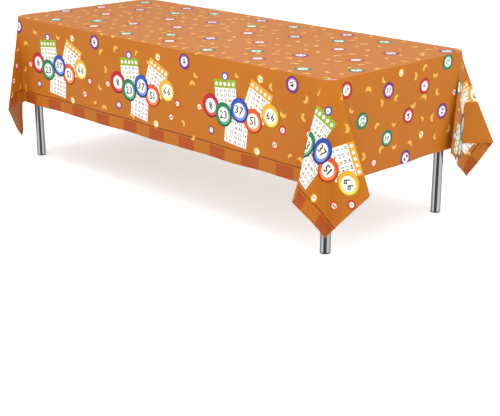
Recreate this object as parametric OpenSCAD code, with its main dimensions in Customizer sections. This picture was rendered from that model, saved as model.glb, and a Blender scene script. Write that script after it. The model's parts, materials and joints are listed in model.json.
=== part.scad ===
// Party table with a plastic cloth draped over it.
// Origin: on the floor, under the middle of the table. X runs along the table, Y across it, Z up.
// The front is the -Y long side, and left is -X.

/* [Table] */
// Length of the table top
table_l = 2200; // [1700:50:2650]
// Width of the table top
table_w = 900; // [740:20:1100]
// Height of the table top above the floor
table_h = 742; // [680:2:900]
// Radius of the table top's corners
corner_r = 70; // [40:2:86]
// Thickness of the whole board
board_t = 25; // [20:1:40]
// Thickness of each laminate sheet
laminate_t = 0.8; // [0.6:0.1:1.5]
// Thickness of the edge band
band_t = 2; // [1:0.5:3]

/* [Legs] */
// Outer diameter of the leg tube
leg_d = 45; // [38:1:60]
// Wall of the leg tube
leg_wall = 1.5; // [1:0.25:3]
// Side of the square plate that holds each leg
plate_w = 110; // [96:2:140]
// Radius of the plate's corners
plate_r = 20; // [14:1:30]
// Distance from the table's edges to the plates
plate_margin = 20; // [18:1:40]
// Thickness of that plate
plate_t = 4; // [3:0.5:8]
// Length of the spigot that the leg tube slides over
spigot_len = 45; // [35:1:80]

/* [Feet] */
// Thread diameter of the levelling foot
stud_d = 10; // [8:1:14]
// Height of the foot's pad
pad_h = 5; // [4:0.5:16]
// Gap between the pad and the end of the leg when the foot is screwed home
pad_gap = 0.4; // [0.3:0.1:2]
// How far the foot screws out
foot_travel = 12; // [6:1:16]
// Length of the threaded insert
insert_len = 30; // [25:1:60]

/* [Underframe] */
// Width of the rails' flat flange
rail_w = 30; // [24:1:40]
// Depth of the rails' upright flange
rail_depth = 40; // [25:1:60]
// Thickness of the rails' steel
rail_t = 3; // [2:0.5:5]
// Length of the screws' shanks
screw_len = 16; // [12:1:17]
// Diameter of the screws' shanks
screw_d = 4.5; // [3.5:0.25:6]

/* [Cloth] */
// Length that the cloth is cut to
cloth_l = 3048; // [2700:4:3300]
// Width that the cloth is cut to
cloth_w = 1778; // [1300:2:1960]
// Thickness of the cloth's solid
cloth_t = 0.8; // [0.5:0.1:2]
// Radius of the bend where the cloth turns over the table's edge
bend_r = 0.4; // [0.2:0.1:0.5]

/* [Clearances] */
// Gap between the cloth and the table
cloth_gap = 0.3; // [0.3:0.1:1]
// Gap that glue fills round the board
glue_line = 0.05; // [0.02:0.01:0.2]
// Radial gap between a screw and its hole in steel
screw_gap = 0.25; // [0.15:0.05:0.5]
// Radial gap between a screw and its pilot hole in the board
pilot_gap = 0.05; // [0.02:0.01:0.1]
// Radial gap between the leg tube and what is pushed into it
tube_gap = 0.1; // [0.05:0.05:0.3]
// Radial gap of the foot's stud in its insert and in its pad
stud_gap = 0.05; // [0.02:0.01:0.1]
// Gap between parts that are butted end to end
butt_gap = 0.4; // [0.2:0.1:0.8]

/* [Hidden] */
$fn = 96;

// Heights
board_z = table_h - board_t;
laminate_z = table_h - laminate_t;
plate_z = board_z - plate_t;
leg_z = pad_h + pad_gap;

// Corners, as [sign along X, sign along Y], and the leg centres
FRONT_LEFT = [-1, -1];
FRONT_RIGHT = [1, -1];
BACK_LEFT = [-1, 1];
BACK_RIGHT = [1, 1];
CORNERS = [FRONT_LEFT, FRONT_RIGHT, BACK_LEFT, BACK_RIGHT];
leg_inset = plate_margin + plate_w / 2;
leg_x = table_l / 2 - leg_inset;
leg_y = table_w / 2 - leg_inset;
function leg_at(corner, z = 0) = [corner[0] * leg_x, corner[1] * leg_y, z];

// Screws
head_d = 2 * screw_d;
head_t = 3;
plate_screw_edge = 15;
plate_screw = plate_w / 2 - plate_screw_edge;
long_rail_screws = 5;
short_rail_screws = 3;
rail_end_margin = 40;

// Rails run between the leg plates and stand on the line of the legs
long_rail_l = 2 * leg_x - plate_w - 2 * butt_gap;
end_rail_l = 2 * leg_y - plate_w - 2 * butt_gap;
cross_rail_l = 2 * leg_y - rail_w - 2 * butt_gap;
cross_x = table_l / 6;

// Grub screws that lock each leg on its spigot
grub_d = 6;
grub_len = 8;
grub_below = 20;
spigot_wall = 5;
spigot_r = leg_d / 2 - leg_wall - tube_gap;

// Feet
pad_clear = 1;
pad_r = leg_d / 2 - pad_clear;
pad_floor = 2;
grip_count = 12;
grip_r = 1.6;
stud_top = foot_travel + leg_z + insert_len + pad_h;

// A flat plate with round corners, centred on Z
module rounded_plate(l, w, r, h) {
    linear_extrude(h) union() {
        square([l - 2 * r, w], center = true);
        square([l, w - 2 * r], center = true);
        for (c = CORNERS) translate([c[0] * (l / 2 - r), c[1] * (w / 2 - r)]) circle(r);
    }
}

module board_layer(inset, z, h) {
    translate([0, 0, z]) rounded_plate(table_l - 2 * inset, table_w - 2 * inset, corner_r - inset, h);
}

// Places of the screws, each at the underside of what the screw holds
PLATE_SCREWS = [for (c = CORNERS, s = CORNERS) leg_at(c, plate_z) + plate_screw * [s[0], s[1], 0]];
function along(length, count) =
    [for (i = [0:count - 1]) (length / 2 - rail_end_margin) * (2 * i / (count - 1) - 1)];
rail_screw_z = board_z - rail_t;
RAIL_SCREWS = [
    for (x = along(long_rail_l, long_rail_screws), side = [-1, 1]) [x, side * leg_y, rail_screw_z],
    for (y = along(end_rail_l, short_rail_screws), side = [-1, 1]) [side * leg_x, y, rail_screw_z],
    for (y = along(cross_rail_l, short_rail_screws), side = [-1, 1]) [side * cross_x, y, rail_screw_z]
];

module holes(places, r, depth) {
    for (p = places) translate(p) translate([0, 0, -1]) cylinder(r = r, h = depth + 1);
}

module screws(places) {
    for (p = places) translate(p) union() {
        cylinder(d = screw_d, h = screw_len);
        translate([0, 0, -head_t]) cylinder(d = head_d, h = head_t);
    }
}

// Pilot holes run a little deeper than the screws
module pilot_holes() {
    tip_room = 1;
    holes(PLATE_SCREWS, screw_d / 2 + pilot_gap, screw_len + tip_room);
    holes(RAIL_SCREWS, screw_d / 2 + pilot_gap, screw_len + tip_room);
}

module board_core() {
    core_z = board_z + laminate_t;
    color("burlywood") difference() {
        board_layer(band_t + glue_line, core_z, laminate_z - core_z);
        pilot_holes();
    }
}

module backing_sheet() {
    color("gainsboro") difference() {
        board_layer(band_t + glue_line, board_z, laminate_t);
        pilot_holes();
    }
}

module top_laminate() {
    color("whitesmoke") board_layer(band_t + glue_line, laminate_z, laminate_t);
}

module edge_band() {
    color("silver") difference() {
        board_layer(0, board_z, board_t);
        board_layer(band_t, board_z - 1, board_t + 2);
    }
}

// Angle rail lying along X under the board, its upright flange on the -Y side
module angle_rail(length) {
    translate([-length / 2, -rail_w / 2, -rail_t]) union() {
        cube([length, rail_w, rail_t]);
        translate([0, 0, rail_t - rail_depth]) cube([length, rail_t, rail_depth]);
    }
}

module rail(at, turn, length, screw_places) {
    color("dimgray") difference() {
        translate([at[0], at[1], board_z]) rotate(turn) angle_rail(length);
        holes(screw_places, screw_d / 2 + screw_gap, rail_t + 1);
    }
}

module leg_plate(corner) {
    color("dimgray") difference() {
        translate(leg_at(corner, plate_z)) union() {
            rounded_plate(plate_w, plate_w, plate_r, plate_t);
            translate([0, 0, -spigot_len]) cylinder(r = spigot_r, h = spigot_len + plate_t / 2);
        }
        translate(leg_at(corner, plate_z - spigot_len - 1)) cylinder(r = spigot_r - spigot_wall, h = spigot_len + 1);
        holes(PLATE_SCREWS, screw_d / 2 + screw_gap, plate_t + 1);
        grub_hole(corner, screw_gap);
    }
}

// Grub screws point along X, in from the leg's side that faces the middle of the table
module grub_hole(corner, gap) {
    translate(leg_at(corner, plate_z - grub_below)) rotate([0, -90 * corner[0], 0])
        translate([0, 0, spigot_r - spigot_wall - 1]) cylinder(d = grub_d + 2 * gap, h = leg_d);
}

module grub_screw(corner) {
    translate(leg_at(corner, plate_z - grub_below)) rotate([0, -90 * corner[0], 0])
        translate([0, 0, leg_d / 2 - grub_len]) cylinder(d = grub_d, h = grub_len);
}

module leg(corner) {
    tube_l = plate_z - leg_z;
    color("gainsboro") difference() {
        translate(leg_at(corner, leg_z)) difference() {
            cylinder(d = leg_d, h = tube_l);
            translate([0, 0, -1]) cylinder(r = leg_d / 2 - leg_wall, h = tube_l + 2);
        }
        grub_hole(corner, pilot_gap);
    }
}

module foot_insert(corner) {
    color("black") translate(leg_at(corner, leg_z)) difference() {
        cylinder(r = leg_d / 2 - leg_wall - tube_gap, h = insert_len);
        translate([0, 0, -1]) cylinder(r = stud_d / 2 + stud_gap, h = insert_len + 2);
    }
}

module foot_stud(corner) {
    color("silver") translate(leg_at(corner, pad_floor)) cylinder(d = stud_d, h = stud_top - pad_floor);
}

module foot_pad(corner) {
    color("black") translate(leg_at(corner)) difference() {
        cylinder(r = pad_r, h = pad_h);
        translate([0, 0, pad_floor]) cylinder(r = stud_d / 2 + stud_gap, h = pad_h);
        for (i = [0:grip_count - 1]) rotate(i * 360 / grip_count)
            translate([pad_r + grip_r / 2, 0, -1]) cylinder(r = grip_r, h = pad_h + 2, $fn = 24);
    }
}

// The cloth. On each corner it hangs from the table's edge in straight lines, like a cone,
// folded three times: once each side, and between them at the cloth's own corner.
// A fold is [how far it leans out from plumb, its skew]; skew 0 points straight out from
// the corner's arc, and a skew under 85 either way keeps the cloth clear of the edge. The
// side folds lean as far as the cloth between them and the plumb hem is wide, so the
// cloth keeps its size.
side_drop = (cloth_w - table_w) / 2;
end_drop = (cloth_l - table_l) / 2;
FOLDS_FRONT_LEFT = [[23, -18], [3, -16], [23, 26]];
FOLDS_FRONT_RIGHT = [[23, -18], [3, -16], [23, 26]];
FOLDS_BACK_LEFT = [[23, -18], [3, -16], [23, 26]];
FOLDS_BACK_RIGHT = [[23, -18], [3, -16], [23, 26]];
fold_steps = 4;
widest_step = 8;
bend_steps = 3;

function direction(fold, turn, corner) = let (side = sin(fold[0]), bearing = turn + fold[1])
    [corner[0] * side * sin(bearing), corner[1] * side * cos(bearing), -cos(fold[0])];
function unit(v) = v / norm(v);
plumb = [0, 0, -1];

// The edge holds the cloth out, so no ruling leans in under the table
function clear_of_edge(way, turn, corner) = let (out = [corner[0] * sin(turn), corner[1] * cos(turn), 0])
    unit(way + max(0, -way * out) * out);

// The turn, round the corner's arc, at which the cloth's own corner lies
tip_turn = atan((end_drop + corner_r) / (side_drop + corner_r));

// Rulings of one corner, from the long side round to the end: [turn, direction]
function corner_rulings(corner, folds) = let (
    turns = [0, folds[0][0], tip_turn, 90 - folds[2][0], 90],
    ways = [plumb, for (i = [0:2]) direction(folds[i], turns[i + 1], corner), plumb]
) [
    for (i = [0:3]) let (steps = max(fold_steps, ceil((turns[i + 1] - turns[i]) / widest_step)))
        for (s = [0:steps - 1]) let (f = s / steps)
        let (turn = turns[i] + f * (turns[i + 1] - turns[i]))
        [turn, clear_of_edge((1 - f) * ways[i] + f * ways[i + 1], turn, corner)],
    [90, plumb]
];

// Flat length of a ruling, from the table's edge to the hem
function ruling_length(turn) = turn <= tip_turn
    ? (side_drop + corner_r) / cos(turn) - corner_r
    : (end_drop + corner_r) / sin(turn) - corner_r;

// One station of the cloth's edge: [corner, outward normal, direction, length]
function corner_stations(corner, folds) = [for (r = corner_rulings(corner, folds))
    [corner, [corner[0] * sin(r[0]), corner[1] * cos(r[0]), 0], r[1], ruling_length(r[0])]];
function reversed(list) = [for (i = [len(list) - 1:-1:0]) list[i]];
STATIONS = concat(
    corner_stations(FRONT_RIGHT, FOLDS_FRONT_RIGHT),
    reversed(corner_stations(BACK_RIGHT, FOLDS_BACK_RIGHT)),
    corner_stations(BACK_LEFT, FOLDS_BACK_LEFT),
    reversed(corner_stations(FRONT_LEFT, FOLDS_FRONT_LEFT))
);

// A station's points, from the flat top round the bend to the hem, for the face that lies
// skin away from the table's top and edge
function edge_of(station, skin) = let (
    hub = [station[0][0] * (table_l / 2 - corner_r), station[0][1] * (table_w / 2 - corner_r), 0]
) hub + (corner_r + skin) * station[1];
function station_points(station, skin) = let (
    edge = edge_of(station, skin), top = table_h + skin, radius = bend_r + skin
) [
    for (i = [0:bend_steps]) let (a = 90 * i / bend_steps)
        edge + radius * (sin(a) - 1) * station[1] + [0, 0, top - radius * (1 - cos(a))],
    edge + [0, 0, top - radius] + (station[3] - radius) * station[2]
];

// The outer face is the inner one moved out along its own normal. At a fold it moves along
// the line halfway between the fold's two sides, and further, so that the wall keeps its
// thickness. That line is the sum of the sides' normals and, where the fold is sharp and
// those nearly cancel, the line that the sides themselves point away from.
inner_rows = [for (s = STATIONS) station_points(s, cloth_gap)];
stations = len(STATIONS);
rows = bend_steps + 2;
longest_mitre = 4;
function wrap(i) = (i + stations) % stations;
function square_to(v, along) = unit(v - (v * along) * along);
function normal_at(i, j) = let (
    down = unit(inner_rows[i][min(j + 1, rows - 1)] - inner_rows[i][max(j - 1, 0)]),
    before = square_to(inner_rows[wrap(i - 1)][j] - inner_rows[i][j], down),
    after = square_to(inner_rows[wrap(i + 1)][j] - inner_rows[i][j], down),
    faces = cross(down, after) - cross(down, before),
    away = -before - after,
    halfway = unit(faces + sign(faces * away) * away)
) min(longest_mitre, 1 / abs(halfway * cross(down, after))) * halfway;
outer_rows = [for (i = [0:stations - 1]) [for (j = [0:rows - 1])
    inner_rows[i][j] + cloth_t * (j == 0 ? [0, 0, 1] : normal_at(i, j))]];

// Whether the cell below and after a point is cut from its next top corner back to its own
// lower one. Each cell is cut along whichever diagonal leaves it flatter.
function bend_between(p, q, r, s) = unit(cross(q - p, r - p)) * unit(cross(r - p, s - p));
function falls_back(i, j) = let (
    a = inner_rows[i][j], b = inner_rows[wrap(i + 1)][j],
    c = inner_rows[wrap(i + 1)][j + 1], d = inner_rows[i][j + 1]
) bend_between(b, c, d, a) >= bend_between(a, b, c, d);

module tablecloth() {
    points = [
        for (i = [0:stations - 1], j = [0:rows - 1]) outer_rows[i][j],
        for (i = [0:stations - 1], j = [0:rows - 1]) inner_rows[i][j]
    ];
    inner = stations * rows;
    faces = [
        [for (i = [stations - 1:-1:0]) i * rows],
        [for (i = [0:stations - 1]) inner + i * rows],
        for (i = [0:stations - 1], j = [0:rows - 2]) let (a = i * rows + j, b = wrap(i + 1) * rows + j)
            each (falls_back(i, j) ? [[a, b, a + 1], [b, b + 1, a + 1]] : [[a, b, b + 1], [a, b + 1, a + 1]]),
        for (i = [0:stations - 1], j = [0:rows - 2])
            let (a = inner + i * rows + j, b = inner + wrap(i + 1) * rows + j)
            each (falls_back(i, j) ? [[a, a + 1, b], [b, a + 1, b + 1]] : [[a, b + 1, b], [a, a + 1, b + 1]]),
        for (i = [0:stations - 1]) let (a = i * rows + rows - 1, b = wrap(i + 1) * rows + rows - 1)
            each [[a, b, inner + a], [b, inner + b, inner + a]]
    ];
    color("orange") polyhedron(points, faces, convexity = 10);
}

board_core();
top_laminate();
backing_sheet();
edge_band();
rail([0, -leg_y], 0, long_rail_l, RAIL_SCREWS);  // rail_front
rail([0, leg_y], 180, long_rail_l, RAIL_SCREWS);  // rail_back
rail([-leg_x, 0], -90, end_rail_l, RAIL_SCREWS);  // rail_left
rail([leg_x, 0], 90, end_rail_l, RAIL_SCREWS);  // rail_right
rail([-cross_x, 0], -90, cross_rail_l, RAIL_SCREWS);  // cross_rail_left
rail([cross_x, 0], 90, cross_rail_l, RAIL_SCREWS);  // cross_rail_right
leg_plate(FRONT_LEFT);  // leg_plate_front_left
leg_plate(FRONT_RIGHT);  // leg_plate_front_right
leg_plate(BACK_LEFT);  // leg_plate_back_left
leg_plate(BACK_RIGHT);  // leg_plate_back_right
leg(FRONT_LEFT);  // leg_front_left
leg(FRONT_RIGHT);  // leg_front_right
leg(BACK_LEFT);  // leg_back_left
leg(BACK_RIGHT);  // leg_back_right
foot_insert(FRONT_LEFT);  // foot_insert_front_left
foot_insert(FRONT_RIGHT);  // foot_insert_front_right
foot_insert(BACK_LEFT);  // foot_insert_back_left
foot_insert(BACK_RIGHT);  // foot_insert_back_right
foot_stud(FRONT_LEFT);  // foot_stud_front_left
foot_stud(FRONT_RIGHT);  // foot_stud_front_right
foot_stud(BACK_LEFT);  // foot_stud_back_left
foot_stud(BACK_RIGHT);  // foot_stud_back_right
foot_pad(FRONT_LEFT);  // foot_pad_front_left
foot_pad(FRONT_RIGHT);  // foot_pad_front_right
foot_pad(BACK_LEFT);  // foot_pad_back_left
foot_pad(BACK_RIGHT);  // foot_pad_back_right
color("gray") screws(PLATE_SCREWS);  // plate_screws
color("gray") screws(RAIL_SCREWS);  // rail_screws
color("gray") for (c = CORNERS) grub_screw(c);  // leg_screws
tablecloth();
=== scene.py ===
# %% [markdown]
# # A party table under a printed plastic cloth
# The table's board, rails, legs and feet come from the CAD model and only get their finishes here. The cloth
# is the piece that needs Blender: a flat sheet of thin film that is bent over the table's edge, hangs down,
# and folds into a cone at each corner. Its print is laid out flat, as a printer would, and then bent with it.

# %% Load the frame
import bpy
import json
import math
import numpy as np
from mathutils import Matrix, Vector


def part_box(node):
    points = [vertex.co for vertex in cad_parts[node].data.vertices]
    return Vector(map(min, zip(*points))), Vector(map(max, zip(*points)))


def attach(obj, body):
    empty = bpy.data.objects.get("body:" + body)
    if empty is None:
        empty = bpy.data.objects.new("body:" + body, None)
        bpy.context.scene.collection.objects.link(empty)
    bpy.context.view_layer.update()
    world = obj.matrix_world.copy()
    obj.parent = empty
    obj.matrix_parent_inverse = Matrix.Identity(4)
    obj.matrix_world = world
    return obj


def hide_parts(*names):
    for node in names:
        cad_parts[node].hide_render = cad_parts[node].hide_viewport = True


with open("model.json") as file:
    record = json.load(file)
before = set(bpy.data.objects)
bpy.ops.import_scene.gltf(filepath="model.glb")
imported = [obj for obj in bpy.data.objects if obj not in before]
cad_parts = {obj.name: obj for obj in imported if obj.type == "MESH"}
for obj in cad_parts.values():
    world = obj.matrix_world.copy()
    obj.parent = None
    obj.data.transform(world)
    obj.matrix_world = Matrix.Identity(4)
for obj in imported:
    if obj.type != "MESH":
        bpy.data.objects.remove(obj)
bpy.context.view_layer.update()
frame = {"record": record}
scene = bpy.context.scene

# %% [markdown]
# ## Sizes
# Every size is in metres. The table's length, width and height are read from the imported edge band. Two things
# that a box can't tell are typed: the rounding of the top's corners, and the cloth's cut size, 70 x 120
# inches.

# %% Measure the table, and name the cloth's cut
CLOTH_L = 3.048
CLOTH_W = 1.778
edge_low, edge_high = (np.array(corner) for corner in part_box("edge_band"))
TABLE_L, TABLE_W, _ = edge_high - edge_low
TOP = edge_high[2]
CORNER_R = 0.070
END_DROP = (CLOTH_L - TABLE_L) / 2
SIDE_DROP = (CLOTH_W - TABLE_W) / 2
HUB_X = TABLE_L / 2 - CORNER_R
HUB_Y = TABLE_W / 2 - CORNER_R
print(f"table {TABLE_L:.3f} x {TABLE_W:.3f} m, top at {TOP:.3f} m")
print(f"the cloth hangs {SIDE_DROP:.3f} m down the sides and {END_DROP:.3f} m down the ends")

# %% [markdown]
# ## A small language for shader maths
# A material is a graph of nodes. Wiring a sum or a product by hand takes three lines each, so this class
# wraps one socket and lets Python's own operators add the Math nodes. `Graph.node` makes any other node.

# %% Sockets that add up
class Value:
    """One number coming out of a node, on which + - and * add Math nodes."""

    def __init__(self, graph, socket):
        self.graph = graph
        self.socket = socket

    def _maths(self, operation, *values):
        return self.graph.value("ShaderNodeMath", {"operation": operation}, dict(enumerate(values)))

    def __add__(self, other):
        return self._maths("ADD", self, other)

    def __sub__(self, other):
        return self._maths("SUBTRACT", self, other)

    def __rsub__(self, other):
        return self._maths("SUBTRACT", other, self)

    def __mul__(self, other):
        return self._maths("MULTIPLY", self, other)

    __radd__ = __add__
    __rmul__ = __mul__

    def clamp(self):
        return self.graph.value("ShaderNodeClamp", {}, {0: self})


class Graph:
    """The node tree of one material."""

    def __init__(self, name):
        self.material = bpy.data.materials.new(name)
        self.material.use_nodes = True
        self.tree = self.material.node_tree
        self.tree.nodes.clear()
        self.out = self.tree.nodes.new("ShaderNodeOutputMaterial")

    def node(self, kind, settings=None, inputs=None):
        """Makes a node of any type, with its settings first and then its sockets' values or links."""
        made = self.tree.nodes.new(kind)
        for key, value in (settings or {}).items():
            setattr(made, key, value)
        for key, value in (inputs or {}).items():
            if isinstance(value, Value):
                value = value.socket
            if isinstance(value, bpy.types.NodeSocket):
                self.tree.links.new(value, made.inputs[key])
            else:
                made.inputs[key].default_value = value
        return made

    def value(self, kind, settings=None, inputs=None):
        return Value(self, self.node(kind, settings, inputs).outputs[0])

    def place(self):
        return self.node("ShaderNodeTexCoord").outputs["Object"]

    def noise(self, at, scale, detail=3, roughness=0.5):
        return self.value("ShaderNodeTexNoise", {}, {"Vector": at, "Scale": scale, "Detail": detail,
                                                      "Roughness": roughness})

    def stretched(self, at, scale):
        return self.node("ShaderNodeMapping", {}, {"Vector": at, "Scale": scale}).outputs[0]

    def mix(self, amount, first, second):
        mixed = self.node("ShaderNodeMix", {"data_type": "RGBA"},
                          {0: amount, 6: rgba(first), 7: rgba(second)})
        return mixed.outputs[2]

    def bump(self, height, distance, strength=1.0):
        return self.node("ShaderNodeBump", {}, {"Height": height, "Distance": distance,
                                                "Strength": strength}).outputs[0]

    def surface(self, **inputs):
        """The Principled shader that ends the material. A name's underscores stand for spaces."""
        named = {key.replace("_", " "): value for key, value in inputs.items()}
        if "Base Color" in named:
            named["Base Color"] = rgba(named["Base Color"])
        shader = self.node("ShaderNodeBsdfPrincipled", {}, named)
        self.tree.links.new(shader.outputs[0], self.out.inputs[0])
        return self.material


def rgba(colour):
    return colour if isinstance(colour, (bpy.types.NodeSocket, Value)) else (*colour[:3], 1)


def srgb(red, green, blue):
    """A colour as a screen shows it, 0 to 255, turned into the linear light that a shader works in."""
    screen = np.array([red, green, blue]) / 255
    return tuple(np.where(screen <= 0.04045, screen / 12.92, ((screen + 0.055) / 1.055) ** 2.4))


print("shader maths ready")

# %% [markdown]
# ## The cloth's film
# A party cloth is PEVA film a tenth of a millimetre thick, printed on one side. It is smooth and a little
# waxy, so it has a soft, wide highlight. Up close it has a fine calendered grain and faint crinkles, which
# are too small to model and are made as bump. The pattern is read from the cloth's own flat map, so it bends
# with the folds.

# %% Film and inks
FLAT_MAP = "flat_metres"
FILM_ORANGE = srgb(178, 102, 6)
FILM_ORANGE_DEEP = srgb(168, 94, 4)
FILM_ROUGHNESS, INK_ROUGHNESS = 0.42, 0.34
WAXY = {"Sheen_Weight": 0.05, "Sheen_Roughness": 0.5, "Specular_IOR_Level": 0.2}


def film_relief(graph):
    """Fine grain plus slow crinkles as one normal, and the crinkles alone."""
    flat = graph.node("ShaderNodeUVMap", {"uv_map": FLAT_MAP}).outputs[0]
    grain = graph.noise(flat, 900, 2)
    crinkle = graph.noise(graph.stretched(flat, (5.0, 8.0, 1.0)), 1.0, 5, 0.55)
    return graph.bump(grain * 0.05 + crinkle, 0.004, 0.6), crinkle


def film_material():
    graph = Graph("peva_film_orange")
    relief, crinkle = film_relief(graph)
    tint = graph.mix(crinkle, FILM_ORANGE_DEEP, FILM_ORANGE)
    return graph.surface(Base_Color=tint, Roughness=crinkle * 0.1 + FILM_ROUGHNESS, Normal=relief, **WAXY)


def ink_material(name, colour):
    """Ink lies in the film's own surface, so it has the film's relief. Its colour is flat, as printed."""
    graph = Graph("ink_" + name)
    relief, crinkle = film_relief(graph)
    return graph.surface(Base_Color=colour, Roughness=crinkle * 0.1 + INK_ROUGHNESS, Normal=relief, **WAXY)


FILM = film_material()
print("film ready")

# %% [markdown]
# ## How the cloth hangs
# Lay the flat sheet on the table with its middle on the table's middle. What lies on the top stays flat. What
# hangs over a straight edge bends over it and drops straight down. Over a rounded corner there is more cloth
# than edge, and it has to go somewhere: it hangs from the corner's arc in straight lines, like the side of a
# cone, and the cone folds. A sheet that doesn't stretch keeps its angles at the cone's tip, so the folds are
# chosen as directions, and each fold leans out as far from plumb as the cloth between it and the plumb hem is
# wide.
#
# It could be a cloth simulation. Working it out gives the same folds every time, in the places where they
# should be, and the sheet keeps its size, which is what the print needs.

# %% The corners' folds
# Each fold is (lean from plumb, skew) in degrees. Skew 0 points straight out from the corner's arc.
FOLDS = {
    (-1, -1): ((22, -52), (2, 0), (22, 52)),
    (1, -1): ((23, -18), (3, -16), (23, 26)),
    (-1, 1): ((23, -18), (3, -16), (23, 26)),
    (1, 1): ((26, -6), (15, -61), (16, 80)),
}
LIFT = 0.0008
BEND = 0.0025
SOFT_FOLD = 0.011
SOFT_APEX = 0.045
FINE_TURNS = np.linspace(-30, 120, 601)
BELL = np.linspace(-2, 2, 9)
PLUMB = np.array([0.0, 0.0, -1.0])


def direction(fold, turn, corner):
    lean, bearing = np.radians(fold[0]), np.radians(turn + fold[1])
    side = np.sin(lean)
    return np.array([corner[0] * side * np.sin(bearing), corner[1] * side * np.cos(bearing), -np.cos(lean)])


def unit(vectors):
    return vectors / np.linalg.norm(vectors, axis=-1, keepdims=True)


def fan(corner):
    """The cone's rulings: the direction of the cloth at each of FINE_TURNS, in degrees round the corner.
    Between two folds the direction goes along the straight line between them, scaled back to length 1."""
    first, middle, last = FOLDS[corner]
    tip = math.degrees(math.atan2(END_DROP + CORNER_R, SIDE_DROP + CORNER_R))
    turns = np.array([0, first[0], tip, 90 - last[0], 90])
    hung = [direction(fold, turn, corner) for fold, turn in zip(FOLDS[corner], turns[1:4])]
    ways = np.array([PLUMB, *hung, PLUMB])
    return unit(np.stack([np.interp(FINE_TURNS, turns, ways[:, k]) for k in range(3)], axis=-1))


def ruling(corner, turn, blur):
    """The cloth's direction at each turn, softened over blur degrees, so that a fold is a curve and not an
    edge: the mean of the directions at the steps of BELL, weighted by a bell curve."""
    ways = fan(corner)
    total = np.zeros((*turn.shape, 3))
    for step in BELL:
        at = turn + step * blur
        way = np.stack([np.interp(at, FINE_TURNS, ways[:, k]) for k in range(3)], axis=-1)
        total += math.exp(-step * step / 2) * way
    return unit(total)


print("folds for", len(FOLDS), "corners")

# %% The sheet as one function
def hang(p, q):
    """Where each point of the flat sheet goes. p and q are metres along and across it from its middle.
    Past the hub of the nearest corner, r is the distance and turn the angle round it. Within CORNER_R the
    sheet is still on the table. The rest bends a quarter turn round the edge, with radius BEND, and then runs
    straight along its ruling."""
    a = np.abs(q) - HUB_Y
    b = np.abs(p) - HUB_X
    side_x = np.where(p < 0, -1.0, 1.0)
    side_y = np.where(q < 0, -1.0, 1.0)
    over_a, over_b = np.maximum(a, 0), np.maximum(b, 0)
    r = np.hypot(over_a, over_b)
    turn = np.degrees(np.arctan2(over_b, over_a))
    past = r - CORNER_R
    bearing = np.radians(turn)
    out = np.stack([side_x * np.sin(bearing), side_y * np.cos(bearing), np.zeros_like(p)], axis=-1)
    hub = np.stack([np.where(b > 0, side_x * HUB_X, p), np.where(a > 0, side_y * HUB_Y, q),
                    np.full_like(p, TOP)], axis=-1)
    blur = np.degrees(SOFT_FOLD / np.maximum(past + SOFT_APEX, SOFT_APEX))
    way = np.empty((*p.shape, 3))
    for corner in FOLDS:
        here = (side_x == corner[0]) & (side_y == corner[1])
        way[here] = ruling(corner, turn[here], blur[here])
    into_bend = past + BEND
    angle = np.clip(into_bend / BEND, 0, math.pi / 2)
    along = np.minimum(into_bend, 0) + BEND * (np.sin(angle) - 1)
    below = BEND * (1 - np.cos(angle))
    free = np.maximum(into_bend - BEND * math.pi / 2, 0)
    on_edge = hub + (CORNER_R + LIFT + along)[..., None] * out
    flat_part = hub + (np.minimum(r, CORNER_R)[..., None]) * out
    bent = on_edge + (LIFT - below)[..., None] * -PLUMB + free[..., None] * way
    on_top = flat_part + LIFT * -PLUMB
    return np.where((into_bend > 0)[..., None], bent, on_top), np.clip(past, 0, None)


middle = hang(np.array([0.0, TABLE_L / 2 + END_DROP]), np.array([0.0, 0.0]))[0]
print("middle of the sheet", middle[0].round(4), "middle of the end's hem", middle[1].round(4))

# %% [markdown]
# ### The sheet's grid
# The grid's lines are close together where the sheet bends and far apart where it is flat. Each point is then
# moved a few millimetres along the surface's own normal, because hanging film is never quite flat.

# %% Grid lines
EDGE_STEPS = (-0.012, -0.006, -0.0025, -0.0012, 0, 0.0014, 0.004, 0.009)
EDGE_REACH = 0.017
FINE_STEP, COARSE_STEP = 0.0085, 0.030


def grid_lines(half, hub):
    """Distances from the middle to one hem: coarse on the table, fine from the hub to the hem, and finest at
    the table's edge. The other half mirrors it."""
    flat_part = np.linspace(0, hub, round(hub / COARSE_STEP) + 1)
    corner_part = np.linspace(hub, half, round((half - hub) / FINE_STEP) + 1)
    edge = hub + CORNER_R
    bend = edge + np.array(EDGE_STEPS)
    keep = np.abs(corner_part - edge) > EDGE_REACH
    one = np.unique(np.concatenate([flat_part[:-1], corner_part[keep], bend]).round(6))
    return np.concatenate([-one[:0:-1], one])


P_LINES = grid_lines(CLOTH_L / 2, HUB_X)
Q_LINES = grid_lines(CLOTH_W / 2, HUB_Y)
P_GRID, Q_GRID = np.meshgrid(P_LINES, Q_LINES, indexing="ij")
print("grid", P_GRID.shape)

# %% Bend the grid, and find its normals
RIPPLE = 0.006
# Each wave is (share of the height, radians a metre, start).
SIDE_WAVES = ((0.6, 13.1, 0.7), (0.4, 21.7, 2.1))
END_WAVES = ((0.6, 12.3, 1.9), (0.4, 23.9, 0.4))


def waves(p, q, past):
    """Slow ripples: sines along the hem whose height grows from nothing at the table's edge."""
    down = np.clip(past / SIDE_DROP, 0, 1.4) ** 1.2
    along = sum(share * np.sin(p * rate + start) for share, rate, start in SIDE_WAVES)
    across = sum(share * np.sin(q * rate + start) for share, rate, start in END_WAVES)
    long_side = np.abs(q) - TABLE_W / 2 > np.abs(p) - TABLE_L / 2
    return RIPPLE * down * np.where(long_side, along, across)


def normals_of(points):
    along = np.gradient(points, axis=0)
    across = np.gradient(points, axis=1)
    return unit(np.cross(along, across))


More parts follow.
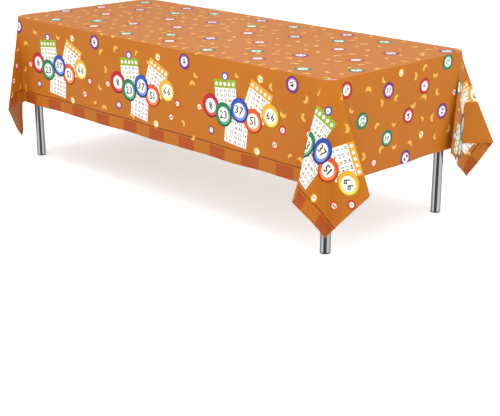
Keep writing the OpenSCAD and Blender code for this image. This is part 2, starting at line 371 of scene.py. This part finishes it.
SHEET, PAST = hang(P_GRID, Q_GRID)
SHEET = SHEET + waves(P_GRID, Q_GRID, PAST)[..., None] * normals_of(SHEET)
NORMALS = normals_of(SHEET)
print("sheet spans", SHEET.min(axis=(0, 1)).round(3), SHEET.max(axis=(0, 1)).round(3))

# %% Make a piece from arrays
def make_piece(name, points, faces, materials, face_material=None, uv=None):
    """A smooth mesh object with its place in its mesh. uv holds one pair for each point."""
    mesh = bpy.data.meshes.new(name)
    mesh.from_pydata(np.asarray(points).tolist(), [], [[int(v) for v in face] for face in faces])
    for material in materials:
        mesh.materials.append(material)
    if face_material is not None:
        mesh.polygons.foreach_set("material_index", np.asarray(face_material, dtype=np.int32))
    if uv is not None:
        layer = mesh.uv_layers.new(name=FLAT_MAP)
        corners = np.empty(len(mesh.loops), dtype=np.int32)
        mesh.loops.foreach_get("vertex_index", corners)
        layer.data.foreach_set("uv", np.asarray(uv, dtype=np.float32)[corners].ravel())
    mesh.polygons.foreach_set("use_smooth", np.ones(len(mesh.polygons), dtype=bool))
    mesh.update()
    piece = bpy.data.objects.new(name, mesh)
    scene.collection.objects.link(piece)
    return piece


def grid_faces(rows, columns):
    """Two triangles for each cell, always cut along the same diagonal, so the print can be cut to match."""
    i, j = np.meshgrid(np.arange(rows - 1), np.arange(columns - 1), indexing="ij")
    a = (i * columns + j).ravel()
    b, c, d = a + columns, a + columns + 1, a + 1
    return np.concatenate([np.stack([a, b, c], axis=1), np.stack([a, c, d], axis=1)])


FILM_T = 0.0003
flat_uv = np.stack([P_GRID.ravel(), Q_GRID.ravel()], axis=1)
cloth = make_piece("tablecloth_film", SHEET.reshape(-1, 3), grid_faces(*P_GRID.shape), [FILM],
                   uv=flat_uv)
thickness = cloth.modifiers.new("film", "SOLIDIFY")
thickness.thickness = FILM_T
thickness.offset = -1
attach(cloth, "cloth")
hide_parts("tablecloth")
print("cloth", len(cloth.data.polygons), "triangles before its thickness")

# %% [markdown]
# ## The print
# A printer lays the whole pattern out flat and runs the film through once. Here each printed shape is a thin
# skin of ink, laid out in the same flat metres and then bent with the sheet. Where a shape crosses the
# sheet's triangles it is cut along them, so the ink follows every fold without sinking in. Each later layer
# lies about a tenth of a millimetre higher, so that none is lost in another, where real ink has no such
# height. The writing is only numbers.

# %% Cut a flat shape to the sheet's triangles
INK_LIFT = 0.00025
LAYER_LIFT = 0.00012


def cells_at(p, q):
    """Which grid cell each flat point is in, and how far across it."""
    i = np.clip(np.searchsorted(P_LINES, p, side="right") - 1, 0, len(P_LINES) - 2)
    j = np.clip(np.searchsorted(Q_LINES, q, side="right") - 1, 0, len(Q_LINES) - 2)
    s = (p - P_LINES[i]) / (P_LINES[i + 1] - P_LINES[i])
    t = (q - Q_LINES[j]) / (Q_LINES[j + 1] - Q_LINES[j])
    return i, j, s[:, None], t[:, None]


def on_sheet(p, q, lift):
    """Flat points onto the hanging sheet's own triangles, moved out along its normal."""
    i, j, s, t = cells_at(p, q)

    def blended(field):
        a, b, c, d = field[i, j], field[i + 1, j], field[i + 1, j + 1], field[i, j + 1]
        return np.where(s >= t, a + s * (b - a) + t * (c - b), a + t * (d - a) + s * (c - d))

    return blended(SHEET) + lift[:, None] * unit(blended(NORMALS))


def clip(points, normal, limit):
    """The part of a convex polygon where its distance along normal is under limit."""
    kept = []
    for (x0, y0), (x1, y1) in zip(points, points[1:] + points[:1]):
        d0 = x0 * normal[0] + y0 * normal[1] - limit
        d1 = x1 * normal[0] + y1 * normal[1] - limit
        if d0 <= 0:
            kept.append((x0, y0))
        if (d0 < 0 < d1) or (d1 < 0 < d0):
            f = d0 / (d0 - d1)
            kept.append((x0 + f * (x1 - x0), y0 + f * (y1 - y0)))
    return kept


def cut(shape):
    """A convex flat shape, anticlockwise, as pieces that each lie in one of the sheet's triangles."""
    shape = np.asarray(shape, dtype=float)
    low, high = shape.min(axis=0), shape.max(axis=0)
    i0, i1 = np.searchsorted(P_LINES, (low[0], high[0])) - (1, 0)
    j0, j1 = np.searchsorted(Q_LINES, (low[1], high[1])) - (1, 0)
    columns = np.arange(max(i0, 0), min(i1, len(P_LINES) - 1))
    rows = np.arange(max(j0, 0), min(j1, len(Q_LINES) - 1))
    i, j = (index.ravel() for index in np.meshgrid(columns, rows))
    if not len(i):
        return []
    a = np.stack([P_LINES[i], Q_LINES[j]], axis=1)
    c = np.stack([P_LINES[i + 1], Q_LINES[j + 1]], axis=1)
    b, d = np.stack([c[:, 0], a[:, 1]], axis=1), np.stack([a[:, 0], c[:, 1]], axis=1)
    triangles = np.concatenate([np.stack([a, b, c], axis=1), np.stack([a, c, d], axis=1)])
    edges = np.roll(shape, -1, axis=0) - shape
    normals = np.stack([edges[:, 1], -edges[:, 0]], axis=1)
    limits = (normals * shape).sum(axis=1)
    beyond = triangles @ normals.T > limits + 1e-12
    pieces = []
    for triangle, outside in zip(triangles, beyond):
        if outside.all(axis=0).any():
            continue
        piece = [tuple(point) for point in triangle]
        for k in np.flatnonzero(outside.any(axis=0)):
            piece = clip(piece, normals[k], limits[k])
            if len(piece) < 3:
                break
        if len(piece) >= 3:
            pieces.append(piece)
    return pieces


trial = [(0.05 * math.cos(k * 0.3), 0.6 + 0.05 * math.sin(k * 0.3)) for k in range(21)]
print("a disc 0.1 m across makes", len(cut(trial)), "pieces")

# %% Collect shapes, and make them pieces
class Print:
    """One printed piece: convex shapes in inks, in the order in which they are printed."""

    def __init__(self, name):
        self.name = name
        self.inks, self.points, self.lifts, self.faces, self.face_inks = [], [], [], [], []

    def lay(self, shape, ink, layer):
        if ink not in self.inks:
            self.inks.append(ink)
        for piece in cut(shape):
            start = len(self.points)
            self.points.extend(piece)
            self.lifts.extend([INK_LIFT + LAYER_LIFT * layer] * len(piece))
            self.faces.append(range(start, start + len(piece)))
            self.face_inks.append(self.inks.index(ink))

    def make(self):
        flat = np.array(self.points)
        key = np.column_stack([flat, self.lifts]).round(7)
        _, first, same = np.unique(key, axis=0, return_index=True, return_inverse=True)
        same = same.ravel()
        faces, inks = [], []
        for face, ink in zip(self.faces, self.face_inks):
            ring = [int(v) for v in dict.fromkeys(same[list(face)].tolist())]
            if len(ring) >= 3:
                faces.append(ring)
                inks.append(ink)
        points = on_sheet(flat[first, 0], flat[first, 1], np.array(self.lifts)[first])
        piece = make_piece(self.name, points, faces, [INKS[ink] for ink in self.inks], inks, flat[first])
        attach(piece, "cloth")
        print(self.name, len(faces), "faces in", len(self.inks), "inks")
        return piece


INK_COLOURS = {
    "white": (236, 232, 222), "black": (38, 32, 36),
    "red": (176, 24, 38), "red_dark": (122, 12, 26), "red_light": (214, 74, 82),
    "green": (22, 118, 78), "green_dark": (10, 78, 52), "green_light": (84, 166, 122),
    "blue": (44, 74, 168), "blue_dark": (24, 42, 112), "blue_light": (104, 134, 206),
    "flame": (214, 78, 22), "flame_dark": (158, 48, 12), "flame_light": (238, 130, 66),
    "gold": (214, 158, 30), "gold_dark": (164, 112, 14), "gold_light": (240, 204, 104),
    "purple": (108, 44, 120), "purple_dark": (70, 22, 82), "purple_light": (158, 104, 168),
    "pink": (206, 120, 130), "brown": (96, 34, 8), "rust": (157, 68, 2), "tan": (170, 95, 3),
    "lime": (136, 158, 44), "amber": (214, 146, 34), "foil": (222, 164, 66), "foil_dark": (158, 106, 24),
}
INKS = {name: ink_material(name, srgb(*colour)) for name, colour in INK_COLOURS.items()}
print(len(INKS), "inks")

# %% [markdown]
# ### Shapes that the pattern repeats
# Every shape is drawn once in its own flat frame and then placed by a point, a turn and a size. A ball is a
# dark disc, its colour a little up and to the left, a pale patch a little down and to the right, and a white
# disc with its number, which together look round. The numbers' outlines come from Blender's built-in font.

# %% Discs, strips and numerals
def turned(points, turn, at, size=1.0):
    """Points in a shape's own frame, turned by degrees, scaled and moved to a flat place."""
    angle = math.radians(turn)
    x, y = np.asarray(points, dtype=float).T * size
    return np.column_stack([at[0] + x * math.cos(angle) - y * math.sin(angle),
                            at[1] + x * math.sin(angle) + y * math.cos(angle)])


def disc(radius, sides, middle=(0, 0)):
    angle = np.linspace(0, 2 * math.pi, sides, endpoint=False)
    return np.column_stack([middle[0] + radius * np.cos(angle), middle[1] + radius * np.sin(angle)])


def bar(left, bottom, right, top):
    return [(left, bottom), (right, bottom), (right, top), (left, top)]


def numeral_shapes():
    """Each digit's filled outline as triangles, 1 high and set to start at x 0, with its width."""
    shapes = {}
    for digit in "0123456789":
        font = bpy.data.curves.new("digit", "FONT")
        font.body = digit
        font.resolution_u = 1
        font.offset = 0.015
        holder = bpy.data.objects.new("digit", font)
        mesh = holder.to_mesh()
        points = np.array([vertex.co[:2] for vertex in mesh.vertices])
        low, high = points.min(axis=0), points.max(axis=0)
        points = (points - low) / (high[1] - low[1])
        mesh.calc_loop_triangles()
        triangles = []
        for triangle in mesh.loop_triangles:
            three = points[list(triangle.vertices)]
            (ax, ay), (bx, by) = three[1] - three[0], three[2] - three[0]
            area = ax * by - ay * bx
            if abs(area) > 1e-6:
                triangles.append(three if area > 0 else three[::-1])
        shapes[digit] = (triangles, (high[0] - low[0]) / (high[1] - low[1]))
        holder.to_mesh_clear()
        bpy.data.objects.remove(holder)
        bpy.data.curves.remove(font)
    return shapes


DIGITS = numeral_shapes()
DIGIT_SPACE = 0.12
BALL_NUMBER = 0.34
# Each disc of a ball is (share of its radius, middle, what follows the colour's name).
BALL_DISCS = ((1, (0, 0), "_dark"), (0.91, (-0.05, 0.06), ""), (0.73, (0.07, -0.08), "_light"))
BALL_WHITE = 0.60


def lay_number(target, number, at, turn, height, ink, layer):
    """A number centred on a point."""
    text = str(number)
    x = -(sum(DIGITS[digit][1] for digit in text) + DIGIT_SPACE * (len(text) - 1)) / 2
    for digit in text:
        triangles, width = DIGITS[digit]
        for triangle in triangles:
            target.lay(turned(triangle + np.array([x, -0.5]), turn, at, height), ink, layer)
        x += width + DIGIT_SPACE


def lay_ball(target, at, turn, across, colour, number, sides, layer):
    """A bingo ball, across metres wide, with its number on the last of BALL_LAYERS."""
    radius = across / 2
    for up, (share, middle, shade) in enumerate(BALL_DISCS):
        target.lay(turned(disc(share, sides, middle), turn, at, radius), colour + shade, layer + up)
    target.lay(turned(disc(BALL_WHITE, sides), turn, at, radius), "white", layer + 3)
    lay_number(target, number, at, turn, across * BALL_NUMBER, "black", layer + 4)


print({digit: len(triangles) for digit, (triangles, _) in DIGITS.items()}, "triangles in each digit")

# %% [markdown]
# ### The layout
# Both long sides carry the same big motif every 0.65 m: five balls in a row that rises and falls, over three
# bingo cards. Smaller balls and pale curls of confetti fill the rest, and the top and the ends carry only
# those. A border runs along the two long hems. The two sides are the same drawing turned half round, so both
# read upright.

# %% Places on the cloth
MOTIF_PLACES = [-1.35, -0.70, -0.05, 0.60, 1.25]
MOTIF_DROP = 0.215
BALL_ROW = [(-0.180, 0.004, "red", 8), (-0.097, -0.020, "green", 23), (0.078, -0.018, "flame", 51),
            (0.180, 0.020, "gold", 66), (0.000, 0.014, "blue", 37)]
BALL_ORDER = [0, 1, 1, 0, 2]
BIG_BALL, BALL_LAYERS = 0.106, 5
MIDDLE_BALL, SMALL_BALL = 0.070, 0.038
SCATTER = [(-0.09, 0.07, "blue", 3, SMALL_BALL), (0.12, 0.05, "gold", 64, SMALL_BALL),
           (0.25, 0.24, "red", 12, SMALL_BALL), (0.205, 0.31, "flame", 48, SMALL_BALL),
           (0.10, 0.36, "gold", 70, SMALL_BALL), (-0.255, 0.23, "flame", 55, SMALL_BALL),
           (-0.18, 0.32, "purple", 29, SMALL_BALL), (0.30, 0.045, "purple", 41, MIDDLE_BALL)]
TOP_BALLS = [(-0.01, 0.21, "green", 19), (0.12, 0.06, "red", 7), (0.33, -0.07, "red", 11),
             (0.47, -0.23, "green", 24), (0.34, 0.15, "purple", 42), (0.10, -0.16, "purple", 36),
             (0.15, 0.34, "green", 28), (0.30, -0.36, "green", 17), (0.48, 0.36, "purple", 45),
             (0.02, -0.34, "red", 5)]
TOP_STEP = 0.57
END_BALLS = [(-0.10, 0.09, "purple", 33), (0.145, 0.11, "red", 9), (0.04, 0.22, "red", 14),
             (0.30, 0.03, "green", 21), (0.46, 0.14, "green", 26), (0.28, 0.24, "purple", 39),
             (0.41, 0.35, "green", 18), (-0.10, 0.29, "green", 30), (0.03, 0.40, "purple", 44),
             (-0.26, 0.19, "green", 22),
             (-0.36, 0.05, "red", 2), (-0.42, 0.31, "purple", 31)]
END_SMALL = [(-0.38, 0.16, "gold", 61), (-0.33, 0.27, "gold", 72), (-0.18, 0.38, "flame", 53),
             (0.14, 0.32, "gold", 68), (0.36, 0.17, "flame", 46), (-0.02, 0.03, "gold", 75)]
SIDES = (-1, 1)


def from_side(side, p, depth):
    """A place on a long side's skirt: side -1 is the front, depth is metres below the table's edge."""
    return -side * p, side * (TABLE_W / 2 + depth)


def up_of(side):
    return 0 if side < 0 else 180


def taken(at, places, room):
    return any(math.hypot(at[0] - p, at[1] - q) < room for p, q in places)


print(len(MOTIF_PLACES) * 2, "motifs")

# %% The border on the long hems
BORDER_H = 0.054
BORDER_GAP, BORDER_LINE = 0.006, 0.004
BORDER_SQUARE = 0.1016
border = Print("print_border")
half_l, half_w = CLOTH_L / 2, CLOTH_W / 2
for side in SIDES:
    inner, outer = side * (half_w - BORDER_H), side * half_w
    low, high = sorted((inner, outer))
    for k in range(round(CLOTH_L / BORDER_SQUARE)):
        left = -half_l + k * BORDER_SQUARE
        border.lay(bar(left, low, left + BORDER_SQUARE, high), "rust" if k % 2 else "tan", 0)
    line = sorted((inner - side * BORDER_GAP, inner - side * (BORDER_GAP + BORDER_LINE)))
    border.lay(bar(-half_l, line[0], half_l, line[1]), "brown", 0)
border = border.make()

# %% The cards
CARD_W, CARD_HEAD, CARD_ROW = 0.130, 0.034, 0.021
CARD_COLUMNS, CARD_ROWS = 5, 5
CARD_EDGE, CARD_DOT, CARD_FREE_DOT, CARD_NUMBER = 0.003, 0.008, 0.007, 0.014
NUMBERS_A_COLUMN = 15
CARDS = [(-0.085, 0.060, 6, "lime", 3), (0.105, 0.066, -22, "amber", 11), (-0.020, -0.070, -6, "pink", 7)]
cards = Print("print_cards")


def lay_card(at, turn, colour, seed):
    """A bingo card: a white sheet with a coloured head that holds five dots, and five columns of numbers.
    Each column has its own fifteen numbers, and the middle square is a dot."""
    half = CARD_W / 2
    height = CARD_HEAD + CARD_ROWS * CARD_ROW
    top = height / 2
    backing = bar(-half - CARD_EDGE, -top - CARD_EDGE, half + CARD_EDGE, top + CARD_EDGE)
    cards.lay(turned(backing, turn, at), colour, 0)
    cards.lay(turned(bar(-half, -top, half, top - CARD_HEAD), turn, at), "white", 1)
    column_w = CARD_W / CARD_COLUMNS
    for column in range(CARD_COLUMNS):
        x = -half + (column + 0.5) * column_w
        cards.lay(turned(disc(CARD_DOT, 10, (x, top - CARD_HEAD / 2)), turn, at), "white", 1)
        for row in range(CARD_ROWS):
            y = top - CARD_HEAD - (row + 0.5) * CARD_ROW
            if column == row == 2:
                cards.lay(turned(disc(CARD_FREE_DOT, 8, (x, y)), turn, at), colour, 2)
                continue
            number = 1 + NUMBERS_A_COLUMN * column + (seed + 4 * row + 7 * column) % NUMBERS_A_COLUMN
            lay_number(cards, number, tuple(turned([(x, y)], turn, at)[0]), turn, CARD_NUMBER, "black", 2)


for side in SIDES:
    for place in MOTIF_PLACES:
        for x, y, turn, colour, seed in CARDS:
            at = from_side(side, place + x, MOTIF_DROP - y)
            lay_card(at, turn + up_of(side), colour, seed)
cards = cards.make()

# %% The balls
balls = Print("print_balls")
places = []


def small_ball(at, turn, colour, number, across):
    places.append(at)
    lay_ball(balls, at, turn, across, colour, number, 16, 0)


for side in SIDES:
    for place in MOTIF_PLACES:
        for order, (x, y, colour, number) in enumerate(BALL_ROW):
            at = from_side(side, place + x, MOTIF_DROP - y)
            layer = 4 + BALL_LAYERS * BALL_ORDER[order]
            lay_ball(balls, at, 8 - 4 * order + up_of(side), BIG_BALL, colour, number, 24, layer)
        for order, (x, depth, colour, number, across) in enumerate(SCATTER):
            at = from_side(side, place + x, depth)
            small_ball(at, 25 * order - 60 + up_of(side), colour, number, across)
for k in range(-2, 2):
    for order, (x, y, colour, number) in enumerate(TOP_BALLS):
        small_ball((x + TOP_STEP * k, y), 40 * order + 30 * k, colour, number, MIDDLE_BALL)
for end in SIDES:
    for order, (y, depth, colour, number) in enumerate(END_BALLS):
        small_ball((end * (TABLE_L / 2 + depth), end * y), 50 * order + 90, colour, number, MIDDLE_BALL)
    for order, (y, depth, colour, number) in enumerate(END_SMALL):
        small_ball((end * (TABLE_L / 2 + depth), end * y), 70 * order, colour, number, SMALL_BALL)
balls = balls.make()

# %% Confetti
CURL_R, CURL_W, CURL_SWEEP, CURL_STEPS = 0.0105, 0.0115, 170, 4
GOLDEN_TURN = 137.5
CONFETTI_STEP, CONFETTI_STRAY = 0.094, 0.025
BALL_ROOM = 0.052
MOTIF_ROOM = (0.25, 0.14)
confetti = Print("print_confetti")


def lay_curl(at, turn, size):
    """A bent ribbon of foil: an arc that is wide in the middle and thin at its ends."""
    angles = np.radians(np.linspace(0, CURL_SWEEP, CURL_STEPS + 1))
    widths = CURL_W * np.sin(np.linspace(0.25, 2.9, CURL_STEPS + 1))
    rays = np.column_stack([np.cos(angles), np.sin(angles)])
    outer, inner = rays * (CURL_R + widths[:, None] / 2), rays * (CURL_R - widths[:, None] / 2)
    for k in range(CURL_STEPS):
        quad = [inner[k], outer[k], outer[k + 1], inner[k + 1]]
        confetti.lay(turned(quad, turn, at, size), "foil", 1)
    tail = [(CURL_R * 0.2, -CURL_R * 0.9), (CURL_R * 1.3, -CURL_R * 0.2), (CURL_R * 1.1, CURL_R * 0.5),
            (CURL_R * 0.1, CURL_R * 0.1)]
    confetti.lay(turned(tail, turn, at, size), "foil_dark", 0)


motif_middles = [from_side(side, place, MOTIF_DROP) for side in SIDES for place in MOTIF_PLACES]
draw = np.random.default_rng(8)
curls = []
for a in np.arange(-half_l + 0.05, half_l, CONFETTI_STEP):
    for b in np.arange(-half_w + 0.09, half_w - 0.07, CONFETTI_STEP):
        at = (a + draw.uniform(-CONFETTI_STRAY, CONFETTI_STRAY),
              b + draw.uniform(-CONFETTI_STRAY, CONFETTI_STRAY))
        clear_of_motifs = all(abs(at[0] - p) > MOTIF_ROOM[0] or abs(at[1] - q) > MOTIF_ROOM[1]
                              for p, q in motif_middles)
        if clear_of_motifs and not taken(at, places, BALL_ROOM):
            curls.append(at)
for order, at in enumerate(curls):
    lay_curl(at, GOLDEN_TURN * order, draw.uniform(1.1, 1.6))
confetti = confetti.make()
print(len(curls), "curls")

# %% [markdown]
# ## The table's own finishes
# The board is particle board under a thin melamine laminate, with a plastic band glued round its edge. The
# rails and the leg plates are folded steel with a black powder coat, which has an orange-peel skin. The legs
# are drawn steel tube, polished and chromed: bright, with faint hairlines along the tube. The feet are
# moulded black nylon.

# %% Materials of wood, plastic and steel
def chipboard():
    graph = Graph("particle_board")
    at = graph.place()
    chips = graph.noise(graph.stretched(at, (260, 260, 420)), 1.0, 4, 0.65)
    bits = graph.noise(graph.stretched(at, (900, 900, 900)), 1.0, 2)
    colour = graph.mix((chips * 1.6 - 0.3).clamp(), srgb(150, 112, 66), srgb(206, 172, 118))
    return graph.surface(Base_Color=colour, Roughness=chips * 0.2 + 0.65,
                         Normal=graph.bump(chips + bits * 0.4, 0.0004))


def laminate():
    graph = Graph("melamine_laminate")
    at = graph.place()
    pores = graph.noise(graph.stretched(at, (60, 900, 900)), 1.0, 3)
    cloud = graph.noise(at, 3, 2)
    colour = graph.mix(cloud, srgb(226, 224, 218), srgb(236, 234, 230))
    return graph.surface(Base_Color=colour, Roughness=pores * 0.15 + 0.3,
                         Normal=graph.bump(pores, 0.00005, 0.4))


def moulded(name, light, dark, grain, rough):
    """Moulded plastic: a fine spark-eroded grain, slightly uneven in colour and gloss."""
    graph = Graph(name)
    at = graph.place()
    skin = graph.noise(at, grain, 3, 0.6)
    wear = graph.noise(at, 25, 2)
    return graph.surface(Base_Color=graph.mix(wear, dark, light), Roughness=wear * 0.15 + rough,
                         Normal=graph.bump(skin, 0.0001, 0.5))


def powder_coat():
    graph = Graph("powder_coat_black")
    at = graph.place()
    peel = graph.noise(at, 420, 2)
    dust = graph.noise(at, 9, 4)
    return graph.surface(Base_Color=graph.mix(dust, srgb(34, 34, 36), srgb(52, 52, 55)), Metallic=0.0,
                         Roughness=dust * 0.2 + 0.38, Normal=graph.bump(peel, 0.00015, 0.6))


def chrome():
    """Polished tube: hairlines that run along it, and a faint haze where hands and floor cloths have been."""
    graph = Graph("chrome_tube")
    at = graph.place()
    hairline = graph.noise(graph.stretched(at, (2600, 2600, 6)), 1.0, 2)
    haze = graph.noise(graph.stretched(at, (8, 8, 5)), 1.0, 3)
    return graph.surface(Base_Color=graph.mix(haze, srgb(196, 198, 202), srgb(214, 215, 218)), Metallic=1.0,
                         Roughness=haze * 0.05 + (hairline * 0.03 + 0.05),
                         Normal=graph.bump(hairline, 0.00001, 0.15))


def screw_steel():
    """Zinc-plated steel, with turned rings and a slightly blue, cloudy plating."""
    graph = Graph("zinc_steel")
    at = graph.place()
    rings = graph.noise(graph.stretched(at, (40, 40, 4000)), 1.0, 2)
    cloud = graph.noise(at, 120, 3)
    return graph.surface(Base_Color=graph.mix(cloud, srgb(150, 154, 162), srgb(190, 192, 196)), Metallic=1.0,
                         Roughness=cloud * 0.15 + 0.25, Normal=graph.bump(rings, 0.00004, 0.3))


FINISHES = {
    "board": chipboard(),
    "laminate": laminate(),
    "edge_band": moulded("edge_band_plastic", srgb(196, 196, 194), srgb(184, 184, 182), 700, 0.4),
    "underframe_paint": powder_coat(),
    "leg_chrome": chrome(),
    "foot_plastic": moulded("foot_nylon", srgb(42, 42, 44), srgb(28, 28, 30), 900, 0.5),
    "screw_steel": screw_steel(),
}
finished = 0
for subpart in frame["record"]["subparts"]:
    node, slot = subpart["node"], subpart["material_slot"]
    if slot in FINISHES:
        mesh = bpy.data.objects[node].data
        mesh.materials.clear()
        mesh.materials.append(FINISHES[slot])
        finished += 1
print(finished, "nodes finished")

# %% [markdown]
# ## Camera, floor and light
# A long lens from the right-hand front corner, a little above the table. The light is soft and comes from all
# round, as in a product studio, with a big lamp above, so the top is the brightest face.

# %% Camera, floor, light
FLOOR_GLOW = 0.35
FLOOR_REACH = 30
MIRROR_CARD_AWAY, MIRROR_CARD_REACH, MIRROR_CARD_POINTS = 7.0, 4.0, 13
LENS_MM = 79.8
AZIMUTH, ELEVATION = math.radians(45.74), math.radians(18.78)
LOOK_AT = Vector((0.324, -0.125, -0.036))
DISTANCE = 5.228
BACK = Vector((math.sin(AZIMUTH) * math.cos(ELEVATION), -math.cos(AZIMUTH) * math.cos(ELEVATION),
               math.sin(ELEVATION)))


def add_camera():
    data = bpy.data.cameras.new("camera")
    data.lens = LENS_MM
    data.sensor_width = 36
    data.clip_end = 100
    camera = bpy.data.objects.new("camera", data)
    scene.collection.objects.link(camera)
    camera.location = LOOK_AT + BACK * DISTANCE
    camera.rotation_euler = (LOOK_AT - camera.location).to_track_quat("-Z", "Y").to_euler()
    scene.camera = camera


def add_floor():
    corners = [(x * FLOOR_REACH, y * FLOOR_REACH, 0) for x, y in ((-1, -1), (1, -1), (1, 1), (-1, 1))]
    floor = make_piece("floor", corners, [(0, 1, 2, 3)], [])
    graph = Graph("studio_floor")
    speckle = graph.noise(graph.place(), 6, 2)
    floor.data.materials.append(graph.surface(Base_Color=(0.92, 0.92, 0.92), Roughness=speckle * 0.1 + 0.6,
                                              Emission_Color=(1, 1, 1, 1), Emission_Strength=FLOOR_GLOW))
    floor.visible_glossy = False


def add_mirror_card(name, first, last, shade):
    """A tall curved card round the set, between two bearings from the camera in degrees. Only mirror rays see
    it: polished tube shows nothing but what stands round it, so this is what draws the dark and pale bands on
    the legs, as black and grey card does in a studio."""
    bearings = AZIMUTH + np.radians(np.linspace(first, last, MIRROR_CARD_POINTS))
    rim = np.stack([np.sin(bearings), -np.cos(bearings)], axis=1) * MIRROR_CARD_AWAY
    low = [(x, y, -MIRROR_CARD_REACH) for x, y in rim]
    high = [(x, y, MIRROR_CARD_REACH) for x, y in rim]
    faces = [(k, k + 1, k + 1 + MIRROR_CARD_POINTS, k + MIRROR_CARD_POINTS)
             for k in range(MIRROR_CARD_POINTS - 1)]
    card = make_piece(name, low + high, faces, [])
    graph = Graph(name)
    fibre = graph.noise(graph.place(), 30, 2)
    card.data.materials.append(graph.surface(Base_Color=(0.02, 0.02, 0.02), Roughness=fibre * 0.1 + 0.8,
                                             Emission_Color=(1, 1, 1, 1), Emission_Strength=shade))
    card.visible_camera = card.visible_diffuse = card.visible_shadow = card.visible_transmission = False


def add_lamp(name, place, aim, size, watts):
    data = bpy.data.lights.new(name, "AREA")
    data.shape = "RECTANGLE"
    data.size, data.size_y = size
    data.energy = watts
    lamp = bpy.data.objects.new(name, data)
    lamp.location = place
    lamp.rotation_euler = (Vector(aim) - Vector(place)).to_track_quat("-Z", "Y").to_euler()
    scene.collection.objects.link(lamp)


def add_world(strength):
    world = bpy.data.worlds.new("studio")
    world.use_nodes = True
    background = world.node_tree.nodes["Background"]
    background.inputs[0].default_value = (1, 1, 1, 1)
    background.inputs[1].default_value = strength
    scene.world = world


add_camera()
add_floor()
add_mirror_card("card_dark", -38, 26, 0.06)
add_mirror_card("card_grey_right", 88, 178, 0.35)
add_mirror_card("card_grey_left", -178, -88, 0.35)
add_world(0.85)
add_lamp("overhead", (0.3, -0.4, 4.0), (0, 0, 0.7), (5, 4), 130)
add_lamp("front", (0.8, -5.0, 2.2), (0, 0, 0.5), (4, 3), 50)
add_lamp("side", (5.5, -1.0, 2.2), (0.6, 0, 0.5), (3, 3), 60)
scene.view_settings.view_transform = "Standard"
print("camera at", [round(c, 3) for c in scene.camera.location])

# %% [markdown]
# ## Last, the view layer is brought up to date

bpy.context.view_layer.update()
